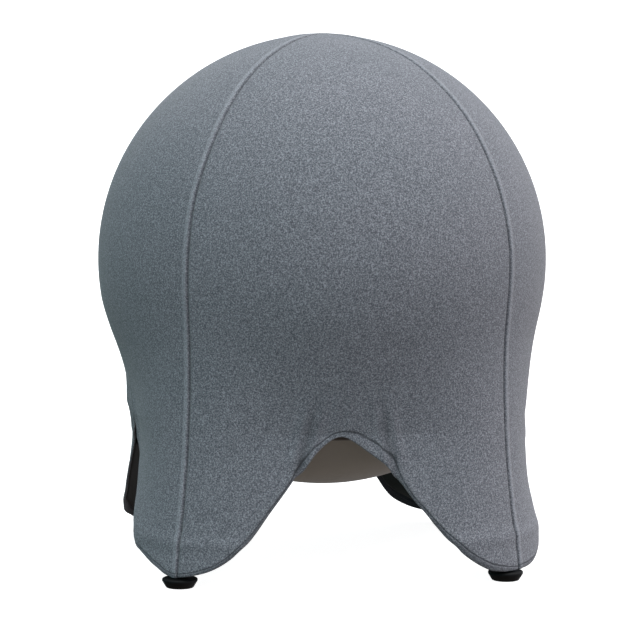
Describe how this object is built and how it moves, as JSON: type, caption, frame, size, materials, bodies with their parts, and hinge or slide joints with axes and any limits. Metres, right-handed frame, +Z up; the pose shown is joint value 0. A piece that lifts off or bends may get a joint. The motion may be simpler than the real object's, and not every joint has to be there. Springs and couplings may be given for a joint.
{
  "type": "balance ball chair",
  "caption": "Backless stool: an inflated ball under a stretched four-gore fabric cover, on a ring frame with fabric-covered legs and screw feet.",
  "frame": {"origin": "on the floor, under the centre of the ball", "axes": "+Z up; the front arch faces -Y; the legs lie on the diagonals between X and Y"},
  "size_m": [0.5004, 0.5004, 0.585],
  "materials": {
    "cover_fabric": "fine stretch knit in heather grey",
    "lining_fabric": "plain dark lining cloth",
    "ball_vinyl": "satin warm-grey vinyl",
    "frame_paint": "black powder coat",
    "zinc_steel": "bright zinc plating",
    "pad_plastic": "black moulded nylon"
  },
  "bodies": {
    "frame": {"ball": "ball_vinyl", "ring_frame": "frame_paint", "cover_front": "cover_fabric", "cover_right": "cover_fabric", "cover_back": "cover_fabric", "cover_left": "cover_fabric", "leg_front_right": "frame_paint", "pocket_lining_front_right": "lining_fabric", "pocket_tab_front_right": "lining_fabric", "pocket_eyelet_front_right": "zinc_steel", "foot_insert_front_right": "zinc_steel", "leg_bolt_front_right_a": "zinc_steel", "leg_nut_front_right_a": "zinc_steel", "leg_bolt_front_right_b": "zinc_steel", "leg_nut_front_right_b": "zinc_steel", "leg_back_right": "frame_paint", "pocket_lining_back_right": "lining_fabric", "pocket_tab_back_right": "lining_fabric", "pocket_eyelet_back_right": "zinc_steel", "foot_insert_back_right": "zinc_steel", "leg_bolt_back_right_a": "zinc_steel", "leg_nut_back_right_a": "zinc_steel", "leg_bolt_back_right_b": "zinc_steel", "leg_nut_back_right_b": "zinc_steel", "leg_back_left": "frame_paint", "pocket_lining_back_left": "lining_fabric", "pocket_tab_back_left": "lining_fabric", "pocket_eyelet_back_left": "zinc_steel", "foot_insert_back_left": "zinc_steel", "leg_bolt_back_left_a": "zinc_steel", "leg_nut_back_left_a": "zinc_steel", "leg_bolt_back_left_b": "zinc_steel", "leg_nut_back_left_b": "zinc_steel", "leg_front_left": "frame_paint", "pocket_lining_front_left": "lining_fabric", "pocket_tab_front_left": "lining_fabric", "pocket_eyelet_front_left": "zinc_steel", "foot_insert_front_left": "zinc_steel", "leg_bolt_front_left_a": "zinc_steel", "leg_nut_front_left_a": "zinc_steel", "leg_bolt_front_left_b": "zinc_steel", "leg_nut_front_left_b": "zinc_steel"},
    "plug": {"valve_plug": "ball_vinyl"},
    "pad_front_right": {"foot_pad_front_right": "pad_plastic"},
    "stud_front_right": {"foot_stud_front_right": "zinc_steel"},
    "pad_back_right": {"foot_pad_back_right": "pad_plastic"},
    "stud_back_right": {"foot_stud_back_right": "zinc_steel"},
    "pad_back_left": {"foot_pad_back_left": "pad_plastic"},
    "stud_back_left": {"foot_stud_back_left": "zinc_steel"},
    "pad_front_left": {"foot_pad_front_left": "pad_plastic"},
    "stud_front_left": {"foot_stud_front_left": "zinc_steel"}
  },
  "joints": [
    {"name": "plug_pull", "type": "slide", "parent": "frame", "child": "plug", "axis": [0, 0, -1], "range_m": [0, 0.016]},
    {"name": "foot_travel_front_right", "type": "slide", "parent": "frame", "child": "pad_front_right", "axis": [0, 0, -1], "range_m": [0, 0.008]},
    {"name": "stud_turn_front_right", "type": "hinge", "parent": "pad_front_right", "child": "stud_front_right", "pos_m": [0.17648, -0.17648, 0], "axis": [0, 0, -1], "range_deg": [0, 2880]},
    {"name": "foot_travel_back_right", "type": "slide", "parent": "frame", "child": "pad_back_right", "axis": [0, 0, -1], "range_m": [0, 0.008]},
    {"name": "stud_turn_back_right", "type": "hinge", "parent": "pad_back_right", "child": "stud_back_right", "pos_m": [0.17648, 0.17648, 0], "axis": [0, 0, -1], "range_deg": [0, 2880]},
    {"name": "foot_travel_back_left", "type": "slide", "parent": "frame", "child": "pad_back_left", "axis": [0, 0, -1], "range_m": [0, 0.008]},
    {"name": "stud_turn_back_left", "type": "hinge", "parent": "pad_back_left", "child": "stud_back_left", "pos_m": [-0.17648, 0.17648, 0], "axis": [0, 0, -1], "range_deg": [0, 2880]},
    {"name": "foot_travel_front_left", "type": "slide", "parent": "frame", "child": "pad_front_left", "axis": [0, 0, -1], "range_m": [0, 0.008]},
    {"name": "stud_turn_front_left", "type": "hinge", "parent": "pad_front_left", "child": "stud_front_left", "pos_m": [-0.17648, -0.17648, 0], "axis": [0, 0, -1], "range_deg": [0, 2880]}
  ],
  "couplings": [
    {"joint": "stud_turn_front_right", "follows": "foot_travel_front_right", "rad_per_m": 6283.2},
    {"joint": "stud_turn_back_right", "follows": "foot_travel_back_right", "rad_per_m": 6283.2},
    {"joint": "stud_turn_back_left", "follows": "foot_travel_back_left", "rad_per_m": 6283.2},
    {"joint": "stud_turn_front_left", "follows": "foot_travel_front_left", "rad_per_m": 6283.2}
  ]
}
